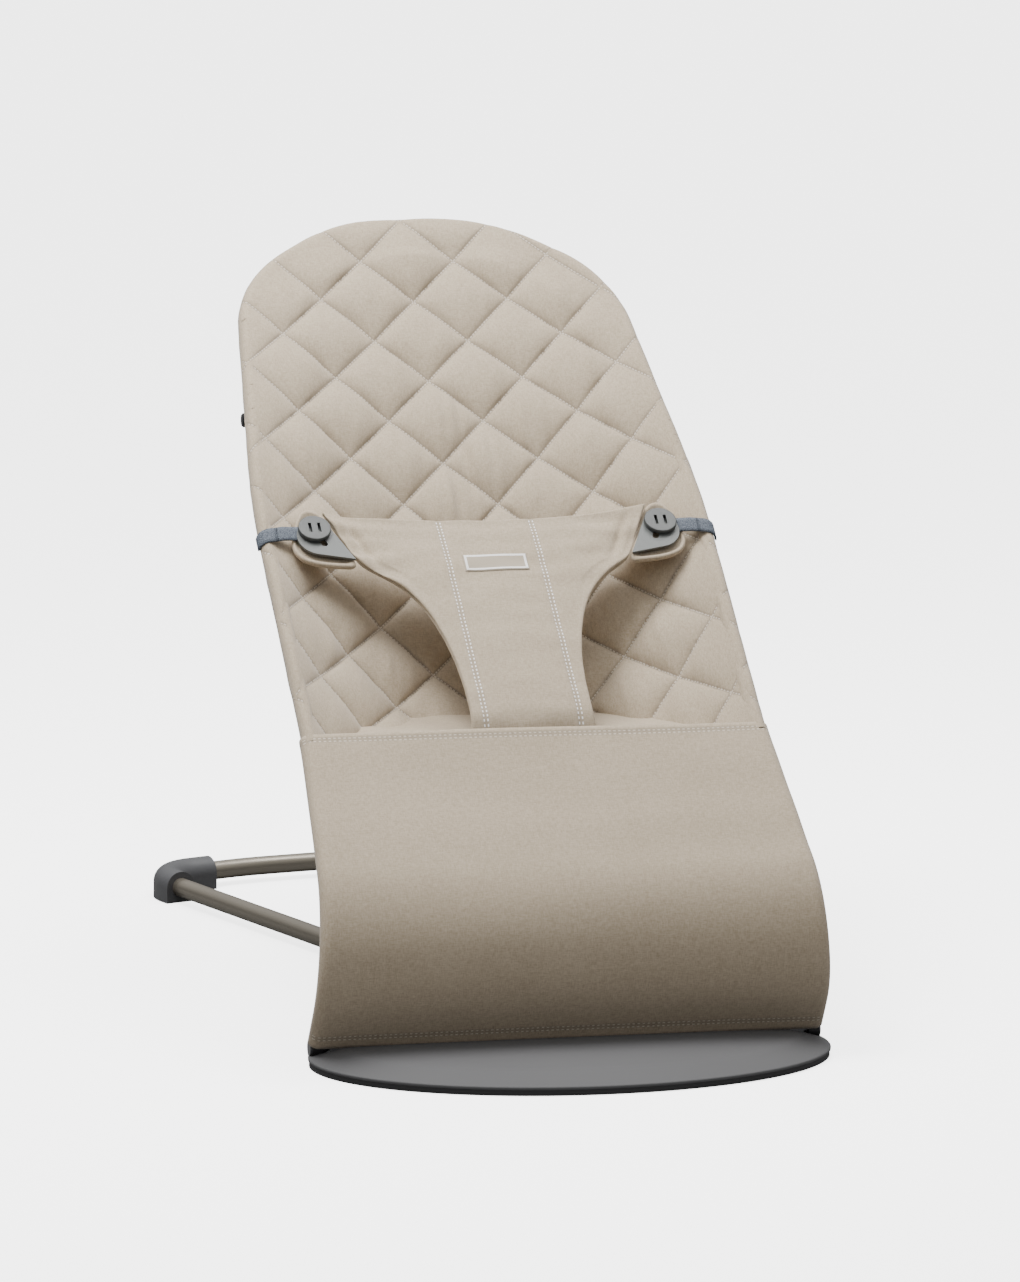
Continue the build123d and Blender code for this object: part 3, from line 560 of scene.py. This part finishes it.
def grid_piece(points, layer=None, keep=None):
    """A grid moved to an array of places, rows first; layer holds its UV, keep the corners shown."""
    rows, columns = points.shape[:2]
    mesh = bmesh.new()
    bmesh.ops.create_grid(mesh, x_segments=columns - 1, y_segments=rows - 1, size=1)
    order = {}
    for vert in mesh.verts:
        column = int(round((vert.co.x + 1) / 2 * (columns - 1)))
        row = int(round((vert.co.y + 1) / 2 * (rows - 1)))
        order[vert] = (row, column)
    if layer is not None:
        plan = mesh.loops.layers.uv.new("quilt")
        for face in mesh.faces:
            for loop in face.loops:
                loop[plan].uv = layer[order[loop.vert]]
    for vert, place in order.items():
        vert.co = Vector(points[place])
    if keep is not None:
        waste = [face for face in mesh.faces if not any(keep[order[vert]] for vert in face.verts)]
        bmesh.ops.delete(mesh, geom=waste, context="FACES")
    bmesh.ops.remove_doubles(mesh, verts=mesh.verts, dist=0.00004)
    bmesh.ops.dissolve_degenerate(mesh, edges=mesh.edges, dist=0.00004)
    return mesh


# ---- Quilted back: two layers with wadding, sewn in diamonds that were straight on the
# flat cloth, so they are laid out by the lengths measured over the hollow.
cell_width, cell_height = 0.0750, 0.0775
crossing_x = -0.0105
crossing_u = 0.6000
seam_reach = wire_wrap * 1.42
quilt_grid_half = 0.189
puff_height, rim_share = 0.0098, 0.04
rim_width = 0.045
rear_gap, rear_tuck = 0.0050, 0.022
fold_overlap = 0.014


def quilt_layer(step, front):
    grid_x = np.arange(-quilt_grid_half, quilt_grid_half + 0.0001, step)
    grid_u = np.arange(0.205, 0.774, step)
    flat_x, flat_u = np.meshgrid(grid_x, grid_u)
    places = np.stack([flat_x.ravel(), flat_u.ravel()], 1)
    nearest = np.concatenate([
        ((places[start:start + 3000, None, :] - rail_line[None, ::2]) ** 2).sum(-1).argmin(1) * 2
        for start in range(0, len(places), 3000)
    ])
    out = ((places - rail_line[nearest]) * rail_normal[nearest]).sum(1)
    beyond = out > 0
    past = np.minimum(out, seam_reach)
    rolled = rail_line[nearest] + rail_normal[nearest] * (wire_wrap * np.sin(past / wire_wrap))[:, None]
    moved = np.where(beyond[:, None], rolled, places)
    clamped = np.where(beyond[:, None], rail_line[nearest] + rail_normal[nearest] * past[:, None], places)
    x, u = moved[:, 0].reshape(flat_x.shape), moved[:, 1].reshape(flat_x.shape)
    lay_x, lay_u = clamped[:, 0].reshape(flat_x.shape), clamped[:, 1].reshape(flat_x.shape)
    fall = np.where(beyond, wire_wrap * (1 - np.cos(past / wire_wrap)), 0).reshape(flat_x.shape)
    out = out.reshape(flat_x.shape)
    v = np.where(out > 0, rail_height + wire_wrap - fall, hollow(x, u))
    inner_x = np.linspace(0, 1, 40)
    run_x = np.multiply.outer(half_width(grid_u), inner_x)
    run_v = hollow(run_x, grid_u[:, None] + run_x * 0)
    strides = np.hypot(np.diff(run_x), np.diff(run_v))
    run = np.concatenate([np.zeros((len(grid_u), 1)), np.cumsum(strides, axis=1)], axis=1)
    width_run = np.array([
        np.interp(np.abs(row), xs, lengths) + np.maximum(np.abs(row) - xs[-1], 0)
        for row, xs, lengths in zip(lay_x, run_x, run)
    ])
    width_run = width_run * np.sign(lay_x)
    first = (width_run - crossing_x) / cell_width + (lay_u - crossing_u) / cell_height
    second = (width_run - crossing_x) / cell_width - (lay_u - crossing_u) / cell_height
    floor_v = bottom(x, u)
    if not front:
        under = np.clip(1 + out / rear_tuck, 0, 1) ** 2
        v = v - rear_gap - (2 * wire_wrap - rear_gap - 2 * fall) * under
    v = np.maximum(v, floor_v - fold_overlap)
    points = seat_points(x, u, v)
    normals = surface_normals(points)
    pillow = (np.abs(np.sin(pi * first)) * np.abs(np.sin(pi * second))) ** 0.40
    room = np.clip((seam_reach - out) / rim_width, 0, 1)
    plan = np.stack([width_run, lay_u, np.zeros_like(lay_u)], -1)
    folds = field(plan, (60, 14, 1), (3.1, 7.7, 0.5)) * 0.0016
    folds = folds + field(plan, (170, 60, 1), (9.3, 1.7, 4.5)) * 0.0005
    drawn = np.exp(-((width_run - 0.01) / 0.07) ** 2) * np.exp(-((lay_u - 0.50) / 0.08) ** 2)
    folds = folds + drawn * field(plan, (120, 10, 1), (1.3, 0.4, 7.5)) * 0.0034
    ending = np.clip((seam_reach - out) / 0.006, 0, 1) ** 0.5
    lift = (puff_height * (rim_share + (1 - rim_share) * room) + folds * room) * pillow * ending
    points = shifted(points, normals, lift if front else -0.5 * lift)
    keep = (out < seam_reach) & (v > floor_v - fold_overlap + 0.0005)
    return grid_piece(points, layer=np.stack([first, second], -1), keep=keep)


quilt_mesh = quilt_layer(0.0016, True)
quilt_rear = quilt_layer(0.0036, False)
bmesh.ops.reverse_faces(quilt_rear, faces=quilt_rear.faces)
scratch = bpy.data.meshes.new("scratch")
quilt_rear.to_mesh(scratch)
quilt_rear.free()
quilt_mesh.from_mesh(scratch)
bpy.data.meshes.remove(scratch)
quilt = piece("quilted_back", quilt_mesh, quilt_cloth)
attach(quilt, "seat")
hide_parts("seat_back")

# ---- Seat bottom: plain cloth from the pocket seam down to the fold under the back.
bottom_u = np.linspace(pocket_u, 0.305, 48)
bottom_x = np.linspace(-0.168, 0.168, 120)
floor_x, floor_u = np.meshgrid(bottom_x, bottom_u)
floor_limit = half_width(floor_u)
floor_x = np.clip(floor_x, -floor_limit, floor_limit)
floor_v = bottom(floor_x, floor_u)
back_v = hollow(floor_x, floor_u)
floor_keep = floor_v > back_v - 0.001
floor_points = seat_points(floor_x, floor_u, np.maximum(floor_v, back_v - 0.002))
floor_ripple = field(floor_points, (30, 30, 30), (1, 2, 3)) * 0.002
floor_points = shifted(floor_points, surface_normals(floor_points), floor_ripple)
seat_bottom = piece("seat_bottom_cloth", grid_piece(floor_points, keep=floor_keep), cover_cloth)
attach(seat_bottom, "seat")
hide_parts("seat_bottom")

# ---- Leg panel: plain cloth stretched between the bows, from the pocket seam to the hem.
panel_route = spaced(rounded([
    Vector((0, point.y, point.z)) for point in
    (hem_end, low_corner, high_corner, seat_point(rail_half, pocket_u, rail_height))
], [0.060, 0.0826]), 0.003)
side_line = spaced([point for point in hoop_route[:len(hoop_route) // 2]], 0.002)
side_line = side_line[side_line[:, 2] < seat_point(0, pocket_u + 0.003, rail_height).z]
reach = np.array([
    np.abs(side_line[np.argmin(np.hypot(side_line[:, 1] - point[1], side_line[:, 2] - point[2])), 0])
    for point in panel_route
])
reach = np.convolve(np.pad(reach, 6, mode="edge"), np.ones(13) / 13, mode="valid")
panel_heading = np.gradient(panel_route, axis=0)
panel_heading /= np.linalg.norm(panel_heading, axis=1)[:, None]
panel_out = np.cross(np.array(across), panel_heading)
panel_length = np.linspace(0, 1, len(panel_route))
wrap_radius = 0.0074
wrap_steps = 14
wrap = np.linspace(radians(-75), radians(90), wrap_steps)
shares = np.linspace(-1, 1, 130)[1:-1]
panel_x = np.concatenate([-np.ones(wrap_steps), shares, np.ones(wrap_steps)])
panel_side = np.concatenate([-np.cos(wrap), np.zeros(len(shares)), np.cos(wrap[::-1])]) * wrap_radius
panel_rise = np.concatenate([np.sin(wrap), np.ones(len(shares)), np.sin(wrap[::-1])]) * wrap_radius
dip = 0.005 * np.multiply.outer(np.sin(pi * panel_length) ** 0.5, 1 - np.abs(panel_x) ** 3)
lateral = np.multiply.outer(reach, panel_x) + panel_side
panel_points = panel_route[:, None, :] + lateral[..., None] * np.array(across)
panel_points = panel_points + panel_out[:, None, :] * (panel_rise - dip)[..., None]
ripple = field(panel_points, (7, 22, 22), (5, 5, 5)) * 0.0014
panel_points = panel_points + panel_out[:, None, :] * ripple[..., None]
panel_run = np.concatenate([[0], np.cumsum(np.linalg.norm(np.diff(panel_route, axis=0), axis=1))])
panel_plan = np.stack([lateral, np.broadcast_to((panel_run[-1] - panel_run)[:, None], lateral.shape)], -1)
hem_thread = (0.60, 0.53, 0.43)
panel_cloth = cloth("panel_cloth", rows=[(1, 0.0058, hem_thread), (1, panel_run[-1] - 0.010, hem_thread)])
panel_mesh = grid_piece(panel_points, layer=panel_plan)
cloth_thickness = 0.0012
bmesh.ops.solidify(panel_mesh, geom=panel_mesh.faces[:], thickness=cloth_thickness)
leg_panel = piece("leg_panel_cloth", panel_mesh, panel_cloth)
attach(leg_panel, "seat")
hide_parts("leg_panel")


# ---- Restraint: a padded T of the same cloth, sewn in at the pocket seam, with two
# rolled layers at every edge, white double stitching and a fold by each wing's end.
flap_u = 0.212
flap_v = 0.1015
flap_thickness = 0.0058
outline_run = np.array([0.0, 0.020, 0.045, 0.070, 0.095, 0.115, 0.132, 0.147, 0.160, 0.172, 0.222])
outline_half = np.array([
    0.0475, 0.0462, 0.0465, 0.0485, 0.0530, 0.0585, 0.0655, 0.0745, 0.0875, 0.1040, 0.1260,
])
flap_length = outline_run[-1]
fine_run = np.linspace(0, flap_length, 800)
fine_half = np.interp(fine_run, outline_run, outline_half)
soft = np.hanning(71) / np.hanning(71).sum()
fine_half[36:-36] = np.convolve(fine_half, soft, mode="same")[36:-36]
lean = np.gradient(fine_half, fine_run)
roll_in = np.array([0.010, 0.007, 0.0045, 0.0028, 0.0016, 0.0007, 0.00015, 0.0, 0.0002, 0.0008, 0.0016])
roll_high = np.array([0.0031, 0.00285, 0.00275, 0.0029, 0.00295, 0.0027, 0.0021, 0.0014, 0.0008, 0.0003, 0.0])
middle = np.linspace(-1, 1, 116)
middle_run = np.linspace(0, 1, 104)
row_high = np.concatenate([np.full(len(middle_run), 1.0), roll_high[1:]])
flap_start = -0.006
flat_rows = flap_start + middle_run * (flap_length - roll_in[0] - flap_start)
row_place = np.concatenate([flat_rows, flap_length - roll_in[1:]])
column_in = np.concatenate([roll_in[::-1], np.zeros(len(middle) - 2), roll_in])
column_share = np.concatenate([-np.ones(len(roll_in)), middle[1:-1], np.ones(len(roll_in))])
column_high = np.concatenate([roll_high[::-1], np.full(len(middle) - 2, 1.0), roll_high])
flap_rows, flap_columns = np.meshgrid(row_place, np.arange(len(column_share)), indexing="ij")
run_half = np.interp(flap_rows, fine_run, fine_half)
run_lean = np.sqrt(1 + np.interp(flap_rows, fine_run, lean) ** 2)
share = column_share[flap_columns]
inset = column_in[flap_columns] * run_lean
flap_x = np.where(np.abs(share) == 1, share * (run_half - inset), share * (run_half - roll_in[0] * run_lean))
edge_high = np.minimum(column_high[flap_columns], np.broadcast_to(row_high[:, None], flap_x.shape))
full = edge_high >= 0.99
from_edge = np.minimum(run_half - np.abs(flap_x), flap_length - flap_rows)
fullness = 0.0030 + 0.0014 * np.clip((from_edge - 0.010) / 0.025, 0, 1) ** 0.7
flap_high = np.where(full, fullness, edge_high)
flap_plan = np.stack([flap_x, flap_rows, np.zeros_like(flap_x)], -1)
wing = np.clip((np.abs(flap_x) - 0.055) / 0.055, 0, 1) * np.clip((flap_rows - 0.12) / 0.06, 0, 1)


def drag_field(plan):
    return field(plan, (26, 70, 1), (2.2, 5.1, 0.3)) * 0.0034


def ease_field(plan):
    return field(plan, (40, 24, 1), (6.2, 1.1, 0.9)) * 0.0009


drag = drag_field(flap_plan) * (0.25 + wing)
ease = ease_field(flap_plan)
tuck_line = (np.abs(flap_x) - 0.104) - (flap_rows - 0.172) * 0.44 + 0.013
tuck_zone = np.clip((flap_rows - 0.165) / 0.02, 0, 1)
tuck_zone = tuck_zone * np.clip((flap_length - 0.004 - flap_rows) / 0.012, 0, 1)
tuck_rise = np.exp(-(tuck_line / 0.0035) ** 2) * 0.0024
tuck_dip = np.exp(-((tuck_line - 0.005) / 0.0026) ** 2) * 0.0020
tuck = (tuck_rise - tuck_dip) * -tuck_zone
stitch_draw = np.exp(-((np.abs(flap_x) - 0.0362) / 0.0028) ** 2) * -0.0009
sag = -0.0055 * (1 - (flap_x / outline_half[-1]) ** 2) * (flap_rows / flap_length) ** 2
curl = 0.004 * np.clip((np.abs(flap_x) - 0.08) / 0.046, 0, 1) ** 2 * np.clip((flap_rows - 0.14) / 0.08, 0, 1)
top_cut = -0.004 * (1 - (flap_x / outline_half[-1]) ** 2) * np.clip(flap_rows / flap_length, 0, 1) ** 4
dive = -0.0075 * np.clip(1 - flap_rows / 0.022, 0, 1) ** 2
flap_mid = flap_v + flap_thickness / 2 + sag + curl + dive
detail = (drag + ease + tuck + stitch_draw) * np.clip(edge_high / 0.003, 0, 1)


def flap_side(sign):
    height = flap_mid + sign * flap_high + (detail if sign > 0 else ease * 0.6)
    return seat_points(flap_x, flap_u + flap_rows + top_cut, height)


restraint_cloth = cloth("restraint_cloth", rows=[(0, 0.0362, (0.92, 0.90, 0.87))])
front_layer = flap_side(1)
back_layer = flap_side(-1)
flap_mesh = grid_piece(front_layer, layer=flap_plan[..., :2])
behind = grid_piece(back_layer, layer=flap_plan[..., :2] * 0 + 5)
scratch = bpy.data.meshes.new("scratch")
behind.to_mesh(scratch)
behind.free()
flap_mesh.from_mesh(scratch)
bpy.data.meshes.remove(scratch)
bmesh.ops.remove_doubles(flap_mesh, verts=flap_mesh.verts, dist=0.00005)
bmesh.ops.holes_fill(flap_mesh, edges=[edge for edge in flap_mesh.edges if edge.is_boundary], sides=0)
bmesh.ops.recalc_face_normals(flap_mesh, faces=flap_mesh.faces)
restraint = piece("restraint_padded", flap_mesh, restraint_cloth)
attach(restraint, "restraint")
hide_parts("restraint_panel")

# ---- Wing tongues: the rear layer runs on past each wing and ends in a rolled lip.
tongue_outline = np.array([
    (0.1040, 0.1690), (0.1200, 0.1700), (0.1360, 0.1725), (0.1480, 0.1780), (0.1535, 0.1880),
    (0.1525, 0.2000), (0.1480, 0.2140), (0.1430, 0.2260), (0.1350, 0.2290), (0.1260, 0.2230),
    (0.1150, 0.1960),
])
loop = np.concatenate([tongue_outline, tongue_outline[:1]])
for step in range(3):
    cut = np.empty((2 * (len(loop) - 1) + 1, 2))
    cut[0:-1:2] = loop[:-1] * 0.75 + loop[1:] * 0.25
    cut[1:-1:2] = loop[:-1] * 0.25 + loop[1:] * 0.75
    cut[-1] = cut[0]
    loop = cut
tongue_loop = loop[:-1]
tongue_middle = tongue_loop.mean(0)
tongue_rings = [        # share of the way in from the outline, height over the flap plane
    (0.10, -0.0012), (0.03, -0.0010), (0.0, 0.0004), (0.02, 0.0022), (0.07, 0.0031), (0.13, 0.0027),
    (0.18, 0.0013), (0.24, 0.0006), (0.5, 0.0005), (0.999, 0.0005),
]
for name, side in (("left", -1), ("right", 1)):
    ring_points = []
    for inward, height in tongue_rings:
        ring_loop = tongue_loop * (1 - inward) + tongue_middle * inward
        lift = height + 0.0030 * np.clip((ring_loop[:, 1] - 0.205) / 0.025, 0, 1)
        ring_points.append(seat_points(side * ring_loop[:, 0], flap_u + ring_loop[:, 1], flap_v + lift))
    ring_points = np.array(ring_points)
    ring_points = np.concatenate([ring_points, ring_points[:, :1]], axis=1)
    tongue_mesh = grid_piece(ring_points)
    bmesh.ops.holes_fill(tongue_mesh, edges=[edge for edge in tongue_mesh.edges if edge.is_boundary])
    bmesh.ops.recalc_face_normals(tongue_mesh, faces=tongue_mesh.faces)
    tongue = piece("tongue_" + name, tongue_mesh, cover_cloth)
    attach(tongue, "restraint")
    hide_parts("wing_tongue_" + name)

# ---- Webbing: woven blue-grey tape from the hoop's seam to each button.
tape = Finish("webbing", (0.13, 0.15, 0.18), 0.8)
tape_uv = tape.node("UVMap", {"uv_map": "quilt"})
tape_split = tape.tree.nodes.new("ShaderNodeSeparateXYZ")
tape.tree.links.new(tape_uv.socket, tape_split.inputs[0])
tape_along, tape_over = Sum(tape, tape_split.outputs[0]), Sum(tape, tape_split.outputs[1])
weave_rate = 3300.0
pick = tape_over.math("SINE", tape_along * weave_rate) * tape_over.math("SINE", tape_over * weave_rate)
speck = tape.noise(1100.0, 2.0)
tape_tone = tape.node("Clamp", {}, Value=(speck - 0.5) * 3.0 + 0.5)
tape.set("Base Color", tape.mix(tape_tone, (0.045, 0.055, 0.072), (0.15, 0.172, 0.205)))
tape.set("Roughness", 0.72 + speck * 0.16)
tape.bump(pick * 0.5 + speck, 0.0003, 0.6)
tape_half = 0.0062
tape_thickness = 0.0014
tape_way = np.array([       # across the seat, height square to the slope
    (0.1290, 0.1046), (0.1350, 0.1050), (0.1410, 0.1055), (0.1470, 0.1061), (0.1530, 0.1069),
    (0.1590, 0.1078), (0.1650, 0.1076), (0.1705, 0.1074), (0.1740, 0.1064), (0.1766, 0.1044),
    (0.1780, 0.1018), (0.1784, 0.0992),
])
section_across = np.array([-1, -0.97, -0.5, 0, 0.5, 0.97, 1, 0.97, 0.5, 0, -0.5, -0.97, -1])
section_through = np.array([0, 0.5, 0.5, 0.5, 0.5, 0.5, 0, -0.5, -0.5, -0.5, -0.5, -0.5, 0])
for name, side in (("left", -1), ("right", 1)):
    halves = (("strap", "seat", 0.52, 1.0), ("strap_tab", name + "_button", 0.0, 0.56))
    for part, body, start, end in halves:
        far = np.broadcast_to(np.linspace(start, end, 30)[:, None], (30, 13))
        across_tape = section_across * tape_half
        through_tape = section_through * tape_thickness
        way = np.linspace(0, 1, len(tape_way))
        tape_x, tape_v = np.interp(far, way, tape_way[:, 0]), np.interp(far, way, tape_way[:, 1])
        lean_x, lean_v = np.gradient(tape_x, axis=0), np.gradient(tape_v, axis=0)
        size = np.hypot(lean_x, lean_v)
        xs = tape_x - through_tape * lean_v / size
        us = flap_u + 0.205 - 0.006 * far + across_tape
        vs = tape_v + through_tape * lean_x / size + 0.0007 * np.sin(across_tape * 240) * np.sin(pi * far)
        tape_uvs = np.stack([xs, np.broadcast_to(across_tape, xs.shape)], -1)
        tape_mesh = grid_piece(seat_points(side * xs, us, vs), layer=tape_uvs)
        bmesh.ops.holes_fill(tape_mesh, edges=[edge for edge in tape_mesh.edges if edge.is_boundary])
        bmesh.ops.recalc_face_normals(tape_mesh, faces=tape_mesh.faces)
        tape_piece = piece(part + "_webbing_" + name, tape_mesh, tape)
        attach(tape_piece, body)
        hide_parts(part + "_" + name)

# ---- Label: a blank woven patch with a paler border, sewn a little proud of the cloth.
woven = Finish("label_woven", (0.5, 0.45, 0.39), 0.8)
label_uv = woven.node("UVMap", {"uv_map": "quilt"})
label_split = woven.tree.nodes.new("ShaderNodeSeparateXYZ")
woven.tree.links.new(label_uv.socket, label_split.inputs[0])
label_across, label_along = abs(Sum(woven, label_split.outputs[0])), abs(Sum(woven, label_split.outputs[1]))
border_x = (label_across > 0.0222) * (label_across < 0.0240)
border_y = (label_along > 0.0058) * (label_along < 0.0076)
inner = (label_across < 0.0240) * (label_along < 0.0076)
border = woven.node("Math", {"operation": "MAXIMUM"}, border_x, border_y) * inner
rib = woven.node("Math", {"operation": "SINE"}, Sum(woven, label_split.outputs[1]) * 12000.0)
woven.set("Base Color", woven.mix(border * 0.95, (0.42, 0.355, 0.27), (0.95, 0.93, 0.90)))
woven.set("Roughness", 0.74 + rib * 0.04)
woven.bump(rib * 0.3 + border, 0.0002, 0.5)
label_half, label_tall = 0.0250, 0.0086
steps_x, steps_y = np.linspace(-1, 1, 60), np.linspace(-1, 1, 22)
label_x, label_y = np.meshgrid(steps_x * label_half, steps_y * label_tall)
label_run = 0.169 + label_y
label_edge = np.minimum(label_half - np.abs(label_x), label_tall - np.abs(label_y))
label_sag = 0.0055 * (1 - (label_x / outline_half[-1]) ** 2) * (label_run / flap_length) ** 2
label_ground = flap_v + flap_thickness / 2 + 0.0044 - label_sag
label_plan = np.stack([label_x, label_run, np.zeros_like(label_x)], -1)
label_ground = label_ground + ease_field(label_plan) + drag_field(label_plan) * 0.25
label_high = label_ground + 0.0002 + 0.0009 * np.clip(label_edge / 0.0008, 0, 1) ** 0.5
label_points = seat_points(label_x, flap_u + label_run, label_high)
label_mesh = grid_piece(label_points, layer=np.stack([label_x, label_y], -1))
label = piece("label_patch_woven", label_mesh, woven)
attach(label, "restraint")
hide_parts("label_patch")
